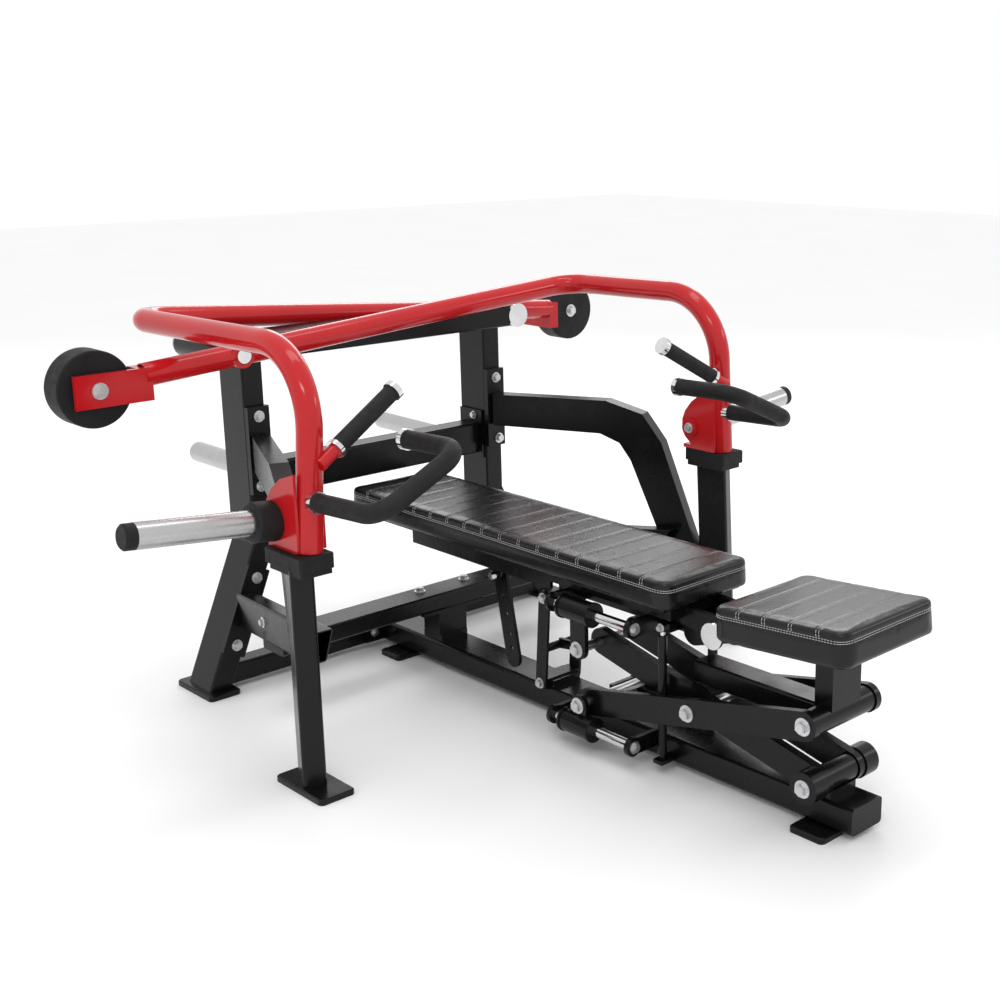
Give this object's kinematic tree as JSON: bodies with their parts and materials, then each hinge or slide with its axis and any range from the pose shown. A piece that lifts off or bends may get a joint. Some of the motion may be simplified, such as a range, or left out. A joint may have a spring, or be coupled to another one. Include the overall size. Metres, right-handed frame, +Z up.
{
  "type": "plate-loaded crossover-lever bench press",
  "caption": "Plate-loaded bench press with crossed red lever arms, counterweights and a scissor-lift bench whose padded back inclines.",
  "frame": {"origin": "on the floor under the middle of the whole machine", "axes": "+Z up, Y along the bench with the seat end at -Y, X across"},
  "size_m": [1.817, 1.8991, 0.8796],
  "materials": {
    "frame_black": "satin powder coat",
    "arm_red": "gloss powder coat",
    "black_rubber": "matte moulded",
    "brushed_sleeve": "fine turned",
    "chrome": "polished",
    "zinc_bolt": "zinc plated",
    "black_leather": "fine-grain upholstery",
    "spring_black": "gloss black"
  },
  "bodies": {
    "frame": {"arm_pivot_housings": "frame_black", "base_rail": "frame_black", "brace_flanges": "frame_black", "floor_plates": "frame_black", "frame_bolts": "zinc_bolt", "gas_spring_cylinders": "spring_black", "lower_brace_left": "frame_black", "lower_brace_right": "frame_black", "lower_rod_brackets": "frame_black", "lower_slide_rods": "chrome", "mid_beam": "frame_black", "rail_brackets": "frame_black", "rear_cross_tube": "frame_black", "rear_floor_beam": "frame_black", "rear_uprights": "frame_black", "rest_collars": "black_rubber", "rest_posts": "frame_black", "storage_horns": "brushed_sleeve", "top_beam": "frame_black", "upper_brace_left": "frame_black", "upper_brace_right": "frame_black"},
    "arm_right": {"arm_bolts_right": "zinc_bolt", "arm_gusset_right": "arm_red", "arm_tube_right": "arm_red", "counterweight_bracket_right": "arm_red", "counterweight_right": "black_rubber", "handle_caps_right": "chrome", "handle_grips_right": "black_rubber", "handle_tubes_right": "arm_red", "horn_collars_right": "black_rubber", "pivot_shaft_right": "chrome", "weight_horn_right": "brushed_sleeve"},
    "arm_left": {"arm_bolts_left": "zinc_bolt", "arm_gusset_left": "arm_red", "arm_tube_left": "arm_red", "counterweight_bracket_left": "arm_red", "counterweight_left": "black_rubber", "handle_caps_left": "chrome", "handle_grips_left": "black_rubber", "handle_tubes_left": "arm_red", "horn_collars_left": "black_rubber", "pivot_shaft_left": "chrome", "weight_horn_left": "brushed_sleeve"},
    "scissor_inner": {"scissor_inner_arms": "frame_black", "scissor_inner_pins": "zinc_bolt"},
    "scissor_outer": {"scissor_outer_arms": "frame_black", "scissor_outer_pins": "zinc_bolt"},
    "platform": {"platform_frame": "frame_black", "platform_bolts": "zinc_bolt", "seat_pad": "black_leather", "upper_slide_rods": "chrome", "gas_spring_rods": "chrome"},
    "slider_lower": {"lower_slider_blocks": "frame_black"},
    "slider_upper": {"upper_slider_blocks": "frame_black"},
    "backrest": {"backrest_tray": "frame_black", "backrest_pad": "black_leather", "backrest_hinge": "chrome"},
    "prop_bar": {"prop_bar": "frame_black"},
    "height_latch": {"latch_plates": "frame_black", "latch_bolts": "zinc_bolt"}
  },
  "joints": [
    {"name": "arm_right_lift", "type": "hinge", "parent": "frame", "child": "arm_right", "pos_m": [-0.41, 0.573, 0.771], "axis": [0, -1, 0], "range_deg": [0, 28]},
    {"name": "arm_left_lift", "type": "hinge", "parent": "frame", "child": "arm_left", "pos_m": [0.41, 0.573, 0.771], "axis": [0, 1, 0], "range_deg": [0, 28]},
    {"name": "bench_lift", "type": "hinge", "parent": "frame", "child": "scissor_inner", "pos_m": [0, -0.832, 0.1], "axis": [1, 0, 0], "range_deg": [0, 18]},
    {"name": "scissor_cross", "type": "hinge", "parent": "scissor_inner", "child": "scissor_outer", "pos_m": [0, -0.5505, 0.161], "axis": [1, 0, 0], "range_deg": [-36, 0]},
    {"name": "platform_pivot", "type": "hinge", "parent": "scissor_outer", "child": "platform", "pos_m": [0, -0.832, 0.222], "axis": [1, 0, 0], "range_deg": [0, 18]},
    {"name": "lower_slider_pivot", "type": "hinge", "parent": "scissor_outer", "child": "slider_lower", "pos_m": [0, -0.269, 0.1], "axis": [1, 0, 0], "range_deg": [0, 18]},
    {"name": "upper_slider_pivot", "type": "hinge", "parent": "scissor_inner", "child": "slider_upper", "pos_m": [0, -0.269, 0.222], "axis": [1, 0, 0], "range_deg": [-18, 0]},
    {"name": "backrest_incline", "type": "hinge", "parent": "platform", "child": "backrest", "pos_m": [0, -0.603, 0.329], "axis": [1, 0, 0], "range_deg": [0, 60]},
    {"name": "prop_bar_swing", "type": "hinge", "parent": "backrest", "child": "prop_bar", "pos_m": [-0.03, 0.08, 0.283], "axis": [1, 0, 0], "range_deg": [0, 15]},
    {"name": "height_latch_swing", "type": "hinge", "parent": "frame", "child": "height_latch", "pos_m": [0, -0.072, 0.072], "axis": [-1, 0, 0], "range_deg": [0, 18]}
  ],
  "couplings": [
    {"joint": "scissor_cross", "follows": "bench_lift", "ratio": -2},
    {"joint": "platform_pivot", "follows": "bench_lift", "ratio": 1},
    {"joint": "lower_slider_pivot", "follows": "bench_lift", "ratio": 1},
    {"joint": "upper_slider_pivot", "follows": "bench_lift", "ratio": -1}
  ]
}
